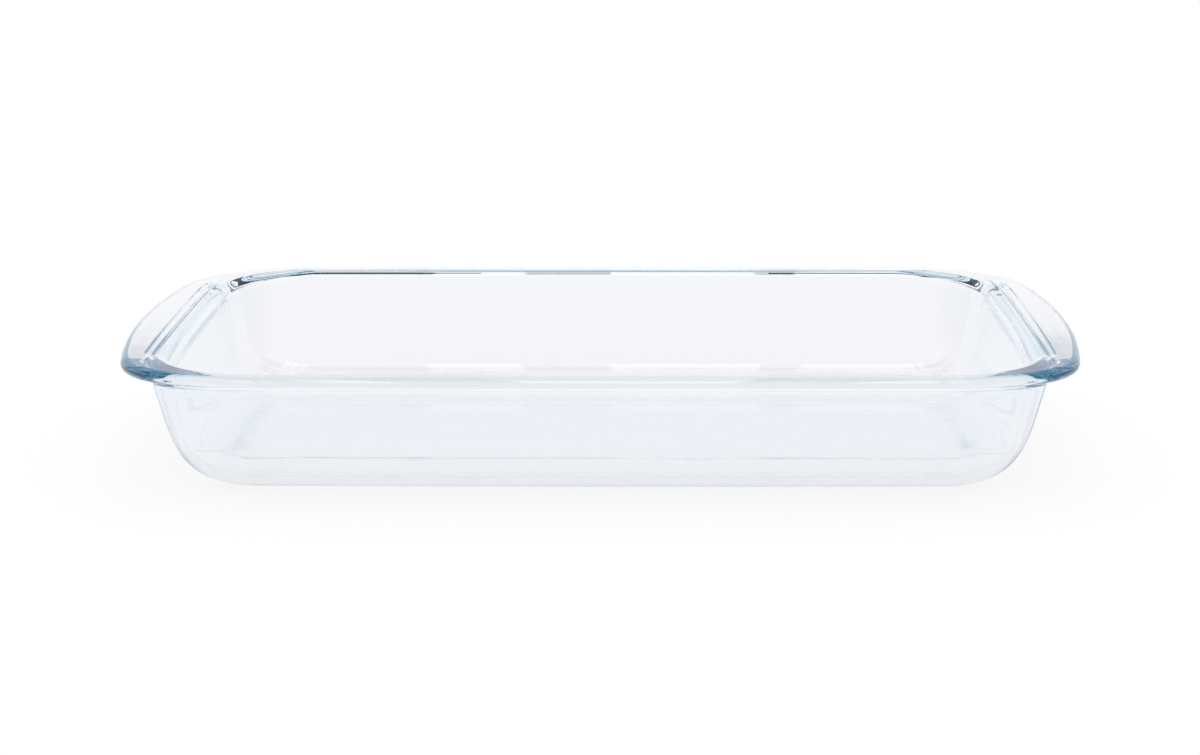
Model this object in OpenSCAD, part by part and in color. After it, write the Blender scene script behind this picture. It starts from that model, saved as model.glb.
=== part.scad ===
// Open rectangular oven dish, pressed in one piece of clear glass, with a wide stepped handle at each end.
// The wall, the rounded rim, the two handles and the base are one skin of rings, lofted from the flat
// underside up the outside, over the rim and its steps, and down the inside to the floor of the basin.
// +X runs along the length, +Z is up, and the origin is the centre of the flat underside.

/* [Overall size] */
// Length over both handles
overall_l = 400; // [340:1:460]
// Width over the rim
overall_w = 262; // [230:1:320]
// Height from the flat underside to the top of the rim
overall_h = 52; // [46:0.5:80]

/* [Rim] */
// Thickness of the handles at their outer edge
end_rim_t = 6.3; // [4.5:0.1:6.5]
// Thickness of the rim along each long side at its outer edge
side_rim_t = 4.5; // [4:0.1:6.3]
// Width of the rim along each long side, from its outer edge to the inside of the wall
rim_w = 10.8; // [10.5:0.1:18]
// Corner radius of the rim, seen from above
rim_corner_r = 45.5; // [38:0.5:51]
// How far the outer edge of each handle bows out in its middle
handle_bow = 15; // [6:0.1:17]
// How far each long side bows out in its middle
side_bow = 1.3; // [0:0.1:4]
// Drop from the top of the rim to the foot of the hollow curve under it
under_drop = 10; // [9.5:0.1:12]
// How far the hollow curve under the handles reaches out from the wall
under_r = 4.5; // [2:0.1:8]
// Slope of the underside of the handles, down towards the wall, in degrees
under_slope = 7; // [0:0.5:9]

/* [Handles] */
// Width of each handle, from its outer edge to the inside of the wall
handle_w = 24.8; // [24:0.1:34]
// Width of the raised lip along the outer edge of each handle
lip_w = 14.2; // [12:0.1:16]
// Number of steps down from the lip towards the basin
step_count = 2; // [1:1:3]
// Height of each step
step_h = 0.8; // [0.4:0.1:1]
// Width of the slope of each step
step_slope_w = 0.8; // [0.4:0.1:1.2]
// Length of the stepped grip in each handle
grip_l = 190; // [120:1:196]
// Length over which the steps turn in at each end of the grip
grip_turn_l = 20; // [8:1:24]

/* [Basin] */
// Thickness of the wall at the height of the rim, measured level. It thins towards the base.
wall_t = 8; // [7:0.1:9]
// Thickness of the base
base_t = 4.5; // [4:0.1:7]
// Slope of the outside of the wall away from the vertical, in degrees
draft = 15; // [12:0.5:17]
// Slope of the inside of the wall away from the vertical, in degrees
inner_draft = 11.5; // [10:0.5:12]
// Radius between the outside of the wall and the underside
base_r = 28.5; // [24:0.5:30]
// Radius between the inside of the wall and the floor of the basin
inner_base_r = 21.5; // [16:0.5:23]
// Radius of the rounded edge between the rim and the basin along the long sides
side_mouth_r = 6; // [4:0.1:6.5]
// Radius of the rounded edge between each handle and the basin
end_mouth_r = 6; // [4:0.1:7]
// Corner radius of the rounded edge where it starts from the rim, seen from above
mouth_corner_r = 45; // [36:0.5:50]
// Corner radius of the inside of the wall at the height of the rim, seen from above
basin_corner_r = 32.5; // [28:0.5:36]
// How far the wall at each end bows out in its middle
end_wall_bow = 1.1; // [0:0.1:4]

/* [Hidden] */

glass_colour = [0.80, 0.89, 0.94, 0.45];

// Facets of each curve
corner_n = 14;
base_curve_n = 8;
under_curve_n = 4;
edge_curve_n = 10;
mouth_curve_n = 6;

// Where the ring points lie along half of a straight stretch, as shares of it from the middle outwards.
// They crowd together where the steps of a handle turn in.
end_shares = [0, 0.35, 0.65, 0.82, 0.88, 0.92, 0.95, 0.98];
side_shares = [0.75, 0.5, 0.25, 0];
quarter_n = len(end_shares) + corner_n + len(side_shares);
ring_n = 4 * quarter_n;

// How fast a corner of the basin tightens, as a share of the wall's inward lean
corner_tighten_share = 0.86;
// How far apart the lines of the steps gather beyond the ends of a grip, as a share of the rim's top
gather_share = 0.06;
// How much of a narrow rim's underside the hollow curve under it may take
under_fit_share = 0.9;
// How near the outer edge of a handle a step may come, as a share of the rim's top
lip_fit_share = 0.85;

half_l = overall_l / 2;
half_w = overall_w / 2;

// The wall of the basin, inside and outside, at the height of the rim
inner_half_l = half_l - handle_w;
inner_half_w = half_w - rim_w;
outer_half_l = inner_half_l + wall_t;
outer_half_w = inner_half_w + wall_t;
outer_corner_r = basin_corner_r + wall_t;

// How far the rounding from the rim into the basin reaches out and down from the inside of the wall
grip_drop = step_count * step_h;
end_reach = end_mouth_r * cos(inner_draft);
end_drop = grip_drop + end_mouth_r * (1 - sin(inner_draft));
side_reach = side_mouth_r * cos(inner_draft);
side_drop = side_mouth_r * (1 - sin(inner_draft));

function smooth(t) =
    let (u = min(max(t, 0), 1))
    u * u * (3 - 2 * u);

// How far round the corner towards the long side each point of a quarter lies, from 0 to 90 degrees
quarter_turn = concat(
    [for (s = end_shares) 0],
    [for (k = [0:corner_n]) 90 * k / corner_n],
    [for (s = side_shares) 90]
);

// A quarter of a rounded rectangle whose straight sides bow out, from +X round to +Y. Its corner reaches
// r_l along X and r_w along Y.
function quarter(l, w, r_l, r_w, bow_l, bow_w) =
    let (
        a = l - bow_l,
        b = w - bow_w,
        straight = concat(
            [for (s = end_shares) [a, s * (b - r_w)]],
            [for (k = [0:corner_n])
                let (t = 90 * k / corner_n)
                [a - r_l + r_l * cos(t), b - r_w + r_w * sin(t)]],
            [for (s = side_shares) [s * (a - r_l), b]]
        )
    )
    [for (p = straight) [p.x + bow_l * (1 - pow(p.y / b, 2)), p.y + bow_w * (1 - pow(p.x / a, 2))]];

// Values along a quarter, repeated for the whole ring
function all_round(q) =
    concat(
        [for (i = [0:quarter_n - 1]) q[i]],
        [for (i = [quarter_n:-1:1]) q[i]],
        [for (i = [0:quarter_n - 1]) q[i]],
        [for (i = [quarter_n:-1:1]) q[i]]
    );

// A size round the whole ring, which changes from its value at the ends to that at the sides in the corners
function from_end_to_side(at_end, at_side) =
    all_round([for (t = quarter_turn) at_side + (at_end - at_side) * pow(cos(t), 2)]);

// The whole outline, anticlockwise seen from above
function outline(l, w, r_l, r_w, bow_l, bow_w) =
    let (q = quarter(l, w, r_l, r_w, bow_l, bow_w))
    concat(
        [for (i = [0:quarter_n - 1]) q[i]],
        [for (i = [quarter_n:-1:1]) [-q[i].x, q[i].y]],
        [for (i = [0:quarter_n - 1]) -q[i]],
        [for (i = [quarter_n:-1:1]) [q[i].x, -q[i].y]]
    );

// Level rings of the wall, moved inwards by lean from where the wall meets the height of the rim
function wall_ring(l, w, r, lean, z) =
    let (corner_r = r - corner_tighten_share * lean)
    [for (p = outline(l - lean, w - lean, corner_r, corner_r, end_wall_bow, side_bow)) [p.x, p.y, z]];
function outer_ring(lean, z) = wall_ring(outer_half_l, outer_half_w, outer_corner_r, lean, z);
function inner_ring(lean, z) = wall_ring(inner_half_l, inner_half_w, basin_corner_r, lean, z);
function lean_at(z, slope) = (overall_h - z) * tan(slope);

// The curve between a leaning wall and a flat floor, as [lean, z] pairs from the floor up to the wall
function base_curve(r, floor_z, slope) =
    let (centre_z = floor_z + r, centre_lean = lean_at(centre_z, slope) + r / cos(slope))
    [for (k = [0:base_curve_n])
        let (t = (90 - slope) * k / base_curve_n)
        [centre_lean - r * sin(t), centre_z - r * cos(t)]];

// The rounded edge of the rim and the handles: its radius, and its outline brought in by a share of that
edge_r = from_end_to_side(end_rim_t / 2, side_rim_t / 2);
function rim_outline(in_share) =
    let (in_l = in_share * end_rim_t / 2, in_w = in_share * side_rim_t / 2)
    outline(half_l - in_l, half_w - in_w, rim_corner_r - in_l, rim_corner_r - in_w, handle_bow, side_bow);

// The start of the rounding from the rim into the basin. The grips lower it in the middle of each handle,
// so it meets the leaning wall lower there than along the sides.
mouth_half_l = inner_half_l + end_reach - lean_at(overall_h - end_drop, inner_draft);
mouth_half_w = inner_half_w + side_reach - lean_at(overall_h - side_drop, inner_draft);
function mouth_outline(turn) =
    let (
        in_l = end_mouth_r * sin(turn),
        in_w = side_mouth_r * sin(turn),
        left_share = 1 - sin(turn) / cos(inner_draft),
        r = basin_corner_r + (mouth_corner_r - basin_corner_r) * left_share
    )
    outline(mouth_half_l - in_l, mouth_half_w - in_w, r, r, end_wall_bow, side_bow);

mouth = mouth_outline(0);
crest = rim_outline(1);
grip = [for (p = mouth) smooth((grip_l / 2 - abs(p.y)) / grip_turn_l)];

// A step's line runs along the mouth, place_w out from it, and turns in to the mouth where the grip ends
tread_w = (half_l - lip_w - mouth[0].x) / step_count;
function step_ring(place_w, order, drop) =
    [for (i = [0:ring_n - 1])
        let (
            out = crest[i] - mouth[i],
            place = min(place_w / norm(out), lip_fit_share),
            p = mouth[i] + (grip[i] * place + (1 - grip[i]) * order * gather_share) * out
        )
        [p.x, p.y, overall_h - drop * grip[i]]];

// The rounding turns from the rim down to the wall. Its radius changes round the corners.
mouth_r = from_end_to_side(end_mouth_r, side_mouth_r);
mouth_rings = [for (k = [0:mouth_curve_n])
    let (t = (90 - inner_draft) * k / mouth_curve_n, q = mouth_outline(t))
    [for (i = [0:ring_n - 1])
        [q[i].x, q[i].y, overall_h - grip_drop * grip[i] - mouth_r[i] * (1 - cos(t))]]];

// The outside of the dish, from the underside up to the foot of the curve under the rim
under_z = overall_h - under_drop;
outer_rings = [
    for (c = base_curve(base_r, 0, draft)) outer_ring(c[0], c[1]),
    outer_ring(lean_at(under_z, draft), under_z)
];

// The hollow curve under the rim, from the leaning wall out to the sloping underside of the rim.
// Where the rim is narrow, along the sides, the curve is drawn in to fit under it.
under_wall = outer_rings[len(outer_rings) - 1];
under_rings = [for (k = [1:under_curve_n])
    let (t = draft + (90 - draft) * k / under_curve_n)
    [for (i = [0:ring_n - 1])
        let (
            out = [crest[i].x - under_wall[i].x, crest[i].y - under_wall[i].y],
            reach = min(under_r, under_fit_share * norm(out)),
            rise = under_drop - 2 * edge_r[i] - (norm(out) - reach) * tan(under_slope),
            along = reach / norm(out) * (cos(draft) - cos(t)) / cos(draft),
            up = rise * (sin(t) - sin(draft)) / (1 - sin(draft))
        )
        [
            under_wall[i].x + out.x * along,
            under_wall[i].y + out.y * along,
            under_z + up
        ]]];

// The rounded outer edge, from the underside of the rim round to its top
edge_rings = [for (k = [0:edge_curve_n])
    let (t = 180 * k / edge_curve_n, q = rim_outline(1 - sin(t)))
    [for (i = [0:ring_n - 1]) [q[i].x, q[i].y, overall_h - edge_r[i] * (1 + cos(t))]]];

// The steps of the grips, from the lip down towards the basin, each with a top line and a foot line
step_rings = [for (s = [step_count:-1:1])
    for (foot = [0, 1])
        step_ring(tread_w * s - step_slope_w * foot, 2 * s - foot, step_h * (step_count - s + foot))];

// The inside of the basin, from the wall down to its floor
inner_curve = base_curve(inner_base_r, base_t, inner_draft);
inner_rings = [for (k = [base_curve_n:-1:0]) inner_ring(inner_curve[k][0], inner_curve[k][1])];

// A closed skin through rings of ring_n points each, from its flat first ring to its flat last one
module loft(rings) {
    last = len(rings) - 1;
    polyhedron(
        points = [for (r = rings) for (p = r) p],
        faces = concat(
            [[for (i = [0:ring_n - 1]) i]],
            [for (j = [0:last - 1])
                for (i = [0:ring_n - 1])
                    let (n = (i + 1) % ring_n, low = j * ring_n, high = low + ring_n)
                    each [[low + i, high + i, high + n], [low + i, high + n, low + n]]],
            [[for (i = [ring_n - 1:-1:0]) last * ring_n + i]]
        ),
        convexity = 6
    );
}

module glass_dish() {
    color(glass_colour)
        loft(concat(outer_rings, under_rings, edge_rings, step_rings, mouth_rings, inner_rings));
}

glass_dish();
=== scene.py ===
"""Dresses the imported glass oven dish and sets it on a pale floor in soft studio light."""

import math

import bpy
import numpy as np
from mathutils import Matrix, Vector


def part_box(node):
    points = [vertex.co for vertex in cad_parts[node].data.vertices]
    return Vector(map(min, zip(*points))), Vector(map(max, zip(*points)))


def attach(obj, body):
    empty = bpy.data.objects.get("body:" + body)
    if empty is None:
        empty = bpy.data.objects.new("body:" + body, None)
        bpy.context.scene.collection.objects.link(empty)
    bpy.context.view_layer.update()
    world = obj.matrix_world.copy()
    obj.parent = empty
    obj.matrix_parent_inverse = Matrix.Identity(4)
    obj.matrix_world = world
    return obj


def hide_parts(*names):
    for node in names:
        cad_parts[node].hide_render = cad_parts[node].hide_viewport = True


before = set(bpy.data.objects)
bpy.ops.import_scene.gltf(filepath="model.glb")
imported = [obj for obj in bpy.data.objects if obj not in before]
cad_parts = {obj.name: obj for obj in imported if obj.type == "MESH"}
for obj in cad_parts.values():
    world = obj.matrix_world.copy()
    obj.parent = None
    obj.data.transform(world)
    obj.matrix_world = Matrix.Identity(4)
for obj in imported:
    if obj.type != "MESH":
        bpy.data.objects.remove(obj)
bpy.context.scene.view_settings.view_transform = "Standard"
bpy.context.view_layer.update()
MM = 0.001

# The dish, in millimetres. Its overall size comes from the frame, and the rest follows the CAD source, apart from
# the ease of the curve at the foot of the wall.
NODE = "glass_dish"
TOP_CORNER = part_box(NODE)[1]
HALF_L, HALF_W, HEIGHT = TOP_CORNER.x / MM, TOP_CORNER.y / MM, TOP_CORNER.z / MM
SIDE_RIM_T = 4.5
END_RIM_T = 6.3
RIM_W = 10.8
RIM_CORNER_R = 45.5
HANDLE_BOW = 15
SIDE_BOW = 1.3
UNDER_DROP = 10
UNDER_R = 4.5
UNDER_SLOPE = math.radians(7)
HANDLE_W = 24.8
LIP_W = 14.2
STEP_COUNT = 2
STEP_H = 0.8
STEP_SLOPE_W = 0.8
GRIP_L = 190
GRIP_TURN_L = 20
WALL_T = 8
BASE_T = 4.5
DRAFT = math.radians(15)
INNER_DRAFT = math.radians(11.5)
BASE_R = 28.5
INNER_BASE_R = 21.5
BASE_EASE = 0.9
SIDE_MOUTH_R = 6
END_MOUTH_R = 6
BASIN_CORNER_R = 32.5
MOUTH_CORNER_R = 45
END_WALL_BOW = 1.1
CORNER_TIGHTEN_SHARE = 0.86
GATHER_SHARE = 0.06
UNDER_FIT_SHARE = 0.9
LIP_FIT_SHARE = 0.85

# How finely each curve is cut
CORNER_N = 36
BASE_CURVE_N = 24
FLAT_SHARES = (0.01, 0.2, 0.4, 0.6, 0.8, 0.99)
UNDER_CURVE_N = 12
EDGE_CURVE_N = 24
STEP_CURVE_N = 8
STEP_GUARD_SHARE = 1 / STEP_CURVE_N
MOUTH_CURVE_N = 16
GRIP_SHARE = 0.75
GRIP_N = 10
GRIP_TURN_N = 18
SIDE_N = 24
END_SHARES = np.concatenate([
    np.linspace(0, GRIP_SHARE, GRIP_N, endpoint=False),
    np.linspace(GRIP_SHARE, 1, GRIP_TURN_N, endpoint=False),
])
SIDE_SHARES = np.linspace(1, 0, SIDE_N + 1)[1:]
TURN = np.linspace(0, math.pi / 2, CORNER_N + 1)
FLOOR_SHARES = (0.99, 0.9, 0.7, 0.45, 0.2)

SIDE_EDGE_R = SIDE_RIM_T / 2
END_EDGE_R = END_RIM_T / 2
INNER_L = HALF_L - HANDLE_W
INNER_W = HALF_W - RIM_W
GRIP_DROP = STEP_COUNT * STEP_H
END_REACH = END_MOUTH_R * math.cos(INNER_DRAFT)
END_DROP = GRIP_DROP + END_MOUTH_R * (1 - math.sin(INNER_DRAFT))
SIDE_REACH = SIDE_MOUTH_R * math.cos(INNER_DRAFT)
SIDE_DROP = SIDE_MOUTH_R * (1 - math.sin(INNER_DRAFT))


def smooth(t):
    u = np.clip(t, 0, 1)
    return u * u * (3 - 2 * u)


def outline(l, w, r_l, r_w, bow_l, bow_w):
    """A rounded rectangle whose straight sides bow out, anticlockwise from +X, as rows of x, y."""
    a, b = l - bow_l, w - bow_w
    x = np.concatenate([np.full(len(END_SHARES), a), a - r_l + r_l * np.cos(TURN), SIDE_SHARES * (a - r_l)])
    y = np.concatenate([END_SHARES * (b - r_w), b - r_w + r_w * np.sin(TURN), np.full(len(SIDE_SHARES), b)])
    q = np.column_stack([x + bow_l * (1 - (y / b) ** 2), y + bow_w * (1 - (x / a) ** 2)])
    back = q[:0:-1]
    return np.concatenate([q[:-1], back * (-1, 1), -q[:-1], back * (1, -1)])


def from_end_to_side(at_end, at_side):
    """A size round the whole ring, which changes in the corners from its end value to its side value."""
    turn = np.concatenate([np.zeros(len(END_SHARES)), TURN, np.full(len(SIDE_SHARES), math.pi / 2)])
    q = at_side + (at_end - at_side) * np.cos(turn) ** 2
    return np.concatenate([q[:-1], q[:0:-1]] * 2)


def ring(xy, z):
    return np.column_stack([xy, np.broadcast_to(z, len(xy))])


def flat(start, end):
    """Rings across a flat stretch, with one close to each end, so that the curve beyond doesn't shade it."""
    return [start + (end - start) * share for share in FLAT_SHARES]


def lean_at(z, slope):
    return (HEIGHT - z) * math.tan(slope)


def wall_ring(l, w, r, lean, z):
    corner_r = r - CORNER_TIGHTEN_SHARE * lean
    return ring(outline(l - lean, w - lean, corner_r, corner_r, END_WALL_BOW, SIDE_BOW), z)


def outer_ring(lean, z):
    return wall_ring(INNER_L + WALL_T, INNER_W + WALL_T, BASIN_CORNER_R + WALL_T, lean, z)


def inner_ring(lean, z):
    return wall_ring(INNER_L, INNER_W, BASIN_CORNER_R, lean, z)


def base_curve(r, floor_z, slope, ease=0):
    """The curve between a leaning wall and a flat floor, as (lean, z) pairs from the floor up.

    It passes through the middle of an arc of radius r. With some ease, it bends less at its ends than there.
    """
    total = math.pi / 2 - slope
    s = np.linspace(0, 1, BASE_CURVE_N + 1)
    turn = total * (s - ease * np.sin(2 * math.pi * s) / (2 * math.pi))
    between = (turn[1:] + turn[:-1]) / 2
    run = np.concatenate([[0], np.cumsum(np.cos(between))])
    rise = np.concatenate([[0], np.cumsum(np.sin(between))])
    tangent = math.hypot(run[-1], rise[-1]) / (2 * math.cos(total / 2))
    middle = math.hypot(tangent - run[BASE_CURVE_N // 2], rise[BASE_CURVE_N // 2])
    scale = r * (1 / math.cos(total / 2) - 1) / middle
    lean = lean_at(floor_z, slope) + scale * (tangent - run)
    return list(zip(lean, floor_z + scale * rise))


def rim_outline(share):
    """The rim's outline, brought in by a share of the radius of its edge, which changes round the corners."""
    in_l, in_w = END_EDGE_R * share, SIDE_EDGE_R * share
    r_l, r_w = RIM_CORNER_R - in_l, RIM_CORNER_R - in_w
    return outline(HALF_L - in_l, HALF_W - in_w, r_l, r_w, HANDLE_BOW, SIDE_BOW)


def mouth_outline(turn):
    in_l, in_w = END_MOUTH_R * math.sin(turn), SIDE_MOUTH_R * math.sin(turn)
    l = INNER_L + END_REACH - lean_at(HEIGHT - END_DROP, INNER_DRAFT) - in_l
    w = INNER_W + SIDE_REACH - lean_at(HEIGHT - SIDE_DROP, INNER_DRAFT) - in_w
    left = 1 - math.sin(turn) / math.cos(INNER_DRAFT)
    r = BASIN_CORNER_R + (MOUTH_CORNER_R - BASIN_CORNER_R) * left
    return outline(l, w, r, r, END_WALL_BOW, SIDE_BOW)


def outside_levels():
    """The outside of the wall: up the curve of the base, then straight up to the curve under the rim."""
    curve = [outer_ring(lean, z) for lean, z in base_curve(BASE_R, 0, DRAFT, BASE_EASE)]
    top = HEIGHT - UNDER_DROP
    end = outer_ring(lean_at(top, DRAFT), top)
    return curve + flat(curve[-1], end) + [end]


def inside_levels(top):
    """The inside of the wall: up the curve of the base, then straight up to the rounding at its top."""
    curve = [inner_ring(lean, z) for lean, z in base_curve(INNER_BASE_R, BASE_T, INNER_DRAFT)]
    return curve + flat(curve[-1], top)


def under_levels(wall):
    """The hollow curve under the rim and the sloping underside of the handles."""
    crest = rim_outline(1)
    rim_t = 2 * from_end_to_side(END_EDGE_R, SIDE_EDGE_R)
    out = crest - wall[:, :2]
    gap = np.linalg.norm(out, axis=1)
    reach = np.minimum(UNDER_R, UNDER_FIT_SHARE * gap)
    rise = UNDER_DROP - rim_t - (gap - reach) * math.tan(UNDER_SLOPE)
    rings = []
    for t in np.linspace(DRAFT, math.pi / 2, UNDER_CURVE_N + 1)[1:]:
        along = reach / gap * (math.cos(DRAFT) - math.cos(t)) / math.cos(DRAFT)
        up = rise * (math.sin(t) - math.sin(DRAFT)) / (1 - math.sin(DRAFT))
        rings.append(ring(wall[:, :2] + out * along[:, None], HEIGHT - UNDER_DROP + up))
    return rings + flat(rings[-1], ring(crest, HEIGHT - rim_t))


def edge_levels():
    """The rounded outer edge, from the underside of the rim round to its top."""
    r = from_end_to_side(END_EDGE_R, SIDE_EDGE_R)
    return [
        ring(rim_outline(1 - math.sin(t)), HEIGHT - r * (1 + math.cos(t)))
        for t in np.linspace(0, math.pi, EDGE_CURVE_N + 1)
    ]


def step_levels(mouth, grip):
    """The steps of the grips, from the lip down towards the basin."""
    out = rim_outline(1) - mouth
    reach = np.linalg.norm(out, axis=1)
    tread_w = (HALF_L - LIP_W - mouth[0, 0]) / STEP_COUNT
    rings = []
    for step in range(STEP_COUNT, 0, -1):
        for t in np.linspace(-STEP_GUARD_SHARE, 1 + STEP_GUARD_SHARE, STEP_CURVE_N + 3):
            place = np.minimum((tread_w * step - STEP_SLOPE_W * t) / reach, LIP_FIT_SHARE)
            share = grip * place + (1 - grip) * GATHER_SHARE * (2 * step - t)
            drop = STEP_H * (STEP_COUNT - step + smooth(t)) * grip
            rings.append(ring(mouth + share[:, None] * out, HEIGHT - drop))
    return rings


def mouth_levels(grip):
    """The rounding from the rim down to the wall of the basin. Its radius changes round the corners."""
    r = from_end_to_side(END_MOUTH_R, SIDE_MOUTH_R)
    return [
        ring(mouth_outline(t), HEIGHT - GRIP_DROP * grip - r * (1 - math.cos(t)))
        for t in np.linspace(0, math.pi / 2 - INNER_DRAFT, MOUTH_CURVE_N + 1)
    ]


def floor_levels(edge):
    """Rings that fill a flat floor inwards from its edge."""
    return [edge * (share, share, 1) for share in FLOOR_SHARES]


def dish_levels():
    mouth = mouth_outline(0)
    grip = smooth((GRIP_L / 2 - np.abs(mouth[:, 1])) / GRIP_TURN_L)
    outside = outside_levels()
    edge = edge_levels()
    steps = step_levels(mouth, grip)
    rounding = mouth_levels(grip)
    inside = inside_levels(rounding[-1])
    return (
        floor_levels(outside[0])[::-1]
        + outside
        + under_levels(outside[-1])
        + edge
        + flat(edge[-1], steps[0])
        + steps
        + rounding
        + inside[::-1]
        + floor_levels(inside[0])
    )


def loft(name, rings):
    """A closed, smooth-shaded skin through the rings, closed to a point in the middle of each floor."""
    n = len(rings[0])
    points = np.concatenate(rings + [[(0, 0, rings[0][0, 2])], [(0, 0, rings[-1][0, 2])]]) * MM
    first, last = len(points) - 2, len(points) - 1
    here = np.arange(n)
    after = (here + 1) % n
    faces = []
    for level in range(len(rings) - 1):
        low, high = level * n, (level + 1) * n
        faces += np.column_stack([low + here, low + after, high + after, high + here]).tolist()
    faces += [(first, b, a) for a, b in zip(here.tolist(), after.tolist())]
    top = (len(rings) - 1) * n
    faces += [(last, top + a, top + b) for a, b in zip(here.tolist(), after.tolist())]
    mesh = bpy.data.meshes.new(name)
    mesh.from_pydata(points.tolist(), [], faces)
    mesh.validate()
    mesh.shade_smooth()
    piece = bpy.data.objects.new(name, mesh)
    bpy.context.scene.collection.objects.link(piece)
    return piece


# Clear glass: what 200 mm of it lets through gives its tint
TINT_PATH = 0.200
TINT = (0.25, 0.52, 0.68)
GLASS_IOR = 1.474
WAVE_SCALE = 40.0
WAVE_HEIGHT = 0.00004


def glass_material():
    material = bpy.data.materials.new("clear_pressed_glass")
    material.use_nodes = True
    nodes, links = material.node_tree.nodes, material.node_tree.links
    shader = nodes["Principled BSDF"]
    shader.inputs["Base Color"].default_value = (1, 1, 1, 1)
    shader.inputs["Roughness"].default_value = 0.0
    shader.inputs["IOR"].default_value = GLASS_IOR
    shader.inputs["Transmission Weight"].default_value = 1.0
    coords = nodes.new("ShaderNodeTexCoord")
    wave = nodes.new("ShaderNodeTexNoise")
    wave.inputs["Scale"].default_value = WAVE_SCALE
    bump = nodes.new("ShaderNodeBump")
    bump.inputs["Distance"].default_value = WAVE_HEIGHT
    links.new(coords.outputs["Object"], wave.inputs["Vector"])
    links.new(wave.outputs["Fac"], bump.inputs["Height"])
    links.new(bump.outputs["Normal"], shader.inputs["Normal"])
    loss = [-math.log(t) / TINT_PATH for t in TINT]
    density = max(loss)
    body = nodes.new("ShaderNodeVolumeAbsorption")
    body.inputs["Color"].default_value = (*[1 - x / density for x in loss], 1)
    body.inputs["Density"].default_value = density
    links.new(body.outputs["Volume"], nodes["Material Output"].inputs["Volume"])
    return material


# The camera, from the perspective of the photograph. Its place is in millimetres, its lens in pixels.
IMAGE_W = 1200
SENSOR_W = 36
FOCAL_PX = 2919.4
CAMERA_DISTANCE = 1265.3
CAMERA_ELEVATION = math.radians(11.764)
CAMERA_TURN = math.radians(-0.689)
CAMERA_ROLL = math.radians(-0.092)
AIM_X = -3.65
AIM_DROP = 26.71
IMAGE_CENTRE_X = 610.9
CLIP_NEAR = 0.01
CLIP_FAR = 100


def make_camera():
    data = bpy.data.cameras.new("camera")
    data.sensor_width = SENSOR_W
    data.lens = FOCAL_PX / IMAGE_W * SENSOR_W
    data.shift_x = (IMAGE_W / 2 - IMAGE_CENTRE_X) / IMAGE_W
    data.clip_start, data.clip_end = CLIP_NEAR, CLIP_FAR
    camera = bpy.data.objects.new("camera", data)
    bpy.context.scene.collection.objects.link(camera)
    e = CAMERA_ELEVATION
    back = Vector((0, -math.cos(e), math.sin(e)))
    place = back * CAMERA_DISTANCE - Vector((AIM_X, 0, AIM_DROP))
    turn = Matrix.Rotation(-CAMERA_TURN, 4, "Z")
    tilt = Matrix.Rotation(math.pi / 2 - e, 4, "X")
    roll = Matrix.Rotation(CAMERA_ROLL, 4, "Z")
    camera.matrix_world = turn @ Matrix.Translation((place + Vector((0, 0, HEIGHT))) * MM) @ tilt @ roll
    bpy.context.scene.camera = camera


# The studio. The background and the light are white. The glass shows a room with a pale floor and pale walls, a
# little dimmer behind the camera and grey at the far left and right. Its ceiling is dark towards the back.
FLOOR_SIZE = 6.0
FLOOR_GAP = 0.0002
FLOOR_SCATTER = 0.15
FLOOR_GLOW = 0.85
WHITE = (1, 1, 1, 1)
FLOOR_IN_GLASS = (0.945, 0.922, 0.945, 1)
WALLS = (1.0, 0.98, 1.0, 1)
FRONT = (0.85, 0.83, 0.87, 1)
FRONT_FROM = 0.0
FRONT_TO = 0.9
SIDES = (0.42, 0.45, 0.52, 1)
SIDES_FROM = 0.75
SIDES_TO = 0.9
CEILING = (0.02, 0.03, 0.07, 1)
CEILING_FROM = 0.55
CEILING_TO = 0.65
BACK_FROM = 0.1
BACK_TO = 0.25
# Soft boxes under the dark of the ceiling, each as its middle and its size along X and Y, in metres
SOFT_BOXES = (
    ((-0.118, 0.3), (0.076, 0.5)),
    ((0.048, 0.3), (0.117, 0.5)),
    ((0.2, 0.3), (0.12, 0.5)),
    ((-0.3, 1.2), (0.08, 1.3)),
    ((0, 1.2), (0.24, 1.3)),
    ((0.3, 1.2), (0.08, 1.3)),
)
SOFT_BOX_Z = 1.05
SOFT_BOX_RADIANCE = 1.0
GLASS_BOUNCES = 48
# The colour sockets of a mix node, which share their names with those for numbers
MIX_A = 6
MIX_B = 7
MIX_RESULT = 2


def link_math(tree, operation, a, b):
    """A maths node between two sockets or numbers."""
    node = tree.nodes.new("ShaderNodeMath")
    node.operation = operation
    for socket, value in zip(node.inputs, (a, b)):
        if isinstance(value, (int, float)):
            socket.default_value = value
        else:
            tree.links.new(value, socket)
    return node.outputs[0]


def link_mix(tree, factor, a, b):
    """A colour that goes from a to b."""
    node = tree.nodes.new("ShaderNodeMix")
    node.data_type = "RGBA"
    tree.links.new(factor, node.inputs["Factor"])
    for socket, value in ((node.inputs[MIX_A], a), (node.inputs[MIX_B], b)):
        if isinstance(value, tuple):
            socket.default_value = value
        else:
            tree.links.new(value, socket)
    return node.outputs[MIX_RESULT]


def seen_in_glass(tree, path):
    """1 for the rays by which glass and gloss show a surface, and 0 for the others."""
    return link_math(tree, "MAXIMUM", path.outputs["Is Glossy Ray"], path.outputs["Is Transmission Ray"])


def fade_in(tree, value, start, end):
    """A smooth rise from 0 at the start to 1 at the end."""
    node = tree.nodes.new("ShaderNodeMapRange")
    node.interpolation_type = "SMOOTHSTEP"
    node.inputs["From Min"].default_value = start
    node.inputs["From Max"].default_value = end
    tree.links.new(value, node.inputs["Value"])
    return node.outputs[0]


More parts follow.
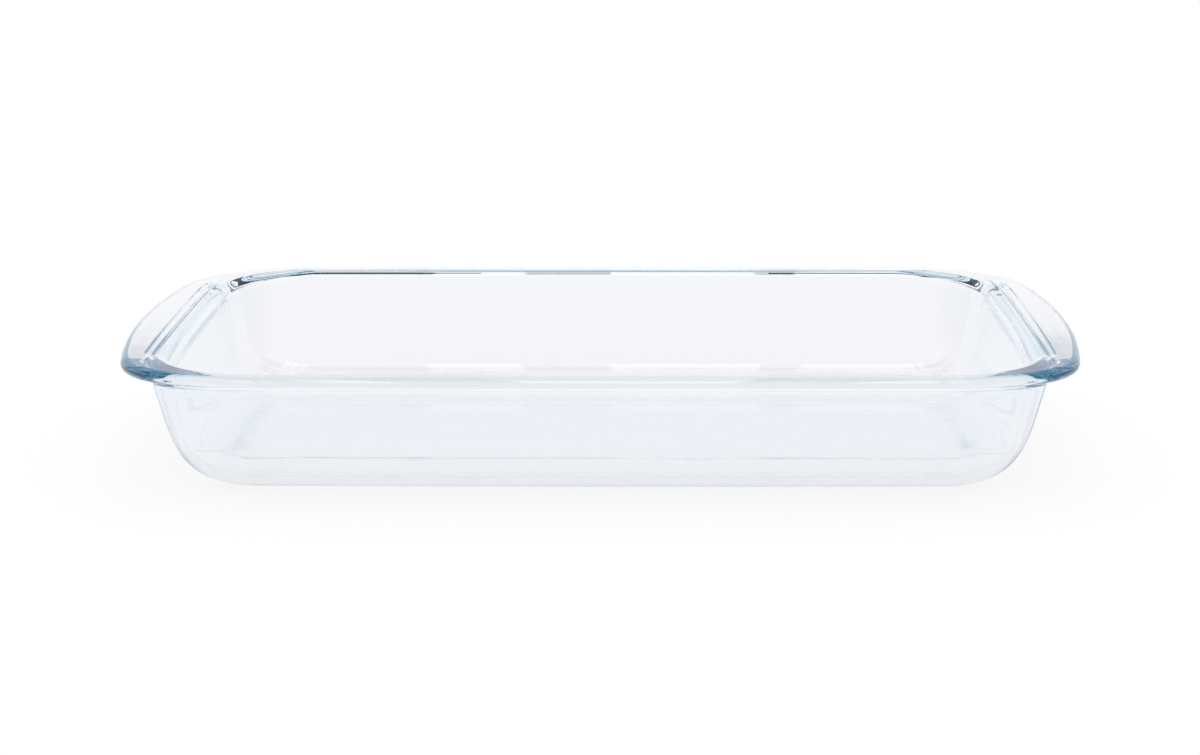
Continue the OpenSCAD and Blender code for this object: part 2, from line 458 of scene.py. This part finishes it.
def make_floor():
    mesh = bpy.data.meshes.new("floor")
    s = FLOOR_SIZE / 2
    corners = [(x, y, -FLOOR_GAP) for x, y in ((-s, -s), (s, -s), (s, s), (-s, s))]
    mesh.from_pydata(corners, [], [(0, 1, 2, 3)])
    floor = bpy.data.objects.new("floor", mesh)
    bpy.context.scene.collection.objects.link(floor)
    material = bpy.data.materials.new("pale_floor")
    material.use_nodes = True
    tree = material.node_tree
    tree.nodes.remove(tree.nodes["Principled BSDF"])
    path = tree.nodes.new("ShaderNodeLightPath")
    in_glass = seen_in_glass(tree, path)
    paper = tree.nodes.new("ShaderNodeBsdfDiffuse")
    paper.inputs["Color"].default_value = (FLOOR_SCATTER, FLOOR_SCATTER, FLOOR_SCATTER, 1)
    glow = tree.nodes.new("ShaderNodeEmission")
    tree.links.new(link_mix(tree, in_glass, WHITE, FLOOR_IN_GLASS), glow.inputs["Color"])
    seen = link_math(tree, "MAXIMUM", path.outputs["Is Camera Ray"], in_glass)
    tree.links.new(link_math(tree, "MULTIPLY", seen, FLOOR_GLOW), glow.inputs["Strength"])
    both = tree.nodes.new("ShaderNodeAddShader")
    tree.links.new(paper.outputs[0], both.inputs[0])
    tree.links.new(glow.outputs[0], both.inputs[1])
    tree.links.new(both.outputs[0], tree.nodes["Material Output"].inputs["Surface"])
    mesh.materials.append(material)


def make_world():
    world = bpy.data.worlds.new("studio")
    bpy.context.scene.world = world
    world.use_nodes = True
    tree = world.node_tree
    coords = tree.nodes.new("ShaderNodeTexCoord")
    direction = tree.nodes.new("ShaderNodeSeparateXYZ")
    tree.links.new(coords.outputs["Generated"], direction.inputs[0])
    to_front = link_math(tree, "MULTIPLY", direction.outputs["Y"], -1)
    to_side = link_math(tree, "ABSOLUTE", direction.outputs["X"], 0)
    room = link_mix(tree, fade_in(tree, to_front, FRONT_FROM, FRONT_TO), WALLS, FRONT)
    room = link_mix(tree, fade_in(tree, to_side, SIDES_FROM, SIDES_TO), room, SIDES)
    dark = fade_in(tree, direction.outputs["Z"], CEILING_FROM, CEILING_TO)
    dark = link_math(tree, "MULTIPLY", dark, fade_in(tree, direction.outputs["Y"], BACK_FROM, BACK_TO))
    room = link_mix(tree, dark, room, CEILING)
    in_glass = seen_in_glass(tree, tree.nodes.new("ShaderNodeLightPath"))
    tree.links.new(link_mix(tree, in_glass, WHITE, room), tree.nodes["Background"].inputs["Color"])


def make_soft_boxes():
    for (x, y), (w, l) in SOFT_BOXES:
        data = bpy.data.lights.new("soft_box", "AREA")
        data.shape = "RECTANGLE"
        data.size, data.size_y = w, l
        data.energy = SOFT_BOX_RADIANCE * math.pi * w * l
        lamp = bpy.data.objects.new("soft_box", data)
        lamp.location = (x, y, SOFT_BOX_Z)
        lamp.visible_camera = False
        bpy.context.scene.collection.objects.link(lamp)


def let_light_cross_glass():
    """Enough bounces for light that runs along inside the rim and the handles."""
    cycles = bpy.context.scene.cycles
    cycles.max_bounces = GLASS_BOUNCES
    cycles.transmission_bounces = GLASS_BOUNCES
    cycles.glossy_bounces = GLASS_BOUNCES


def make_dish():
    dish = loft("dish", dish_levels())
    dish.data.materials.append(glass_material())
    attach(dish, "root")
    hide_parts(NODE)


make_camera()
make_dish()
make_floor()
make_world()
make_soft_boxes()
let_light_cross_glass()
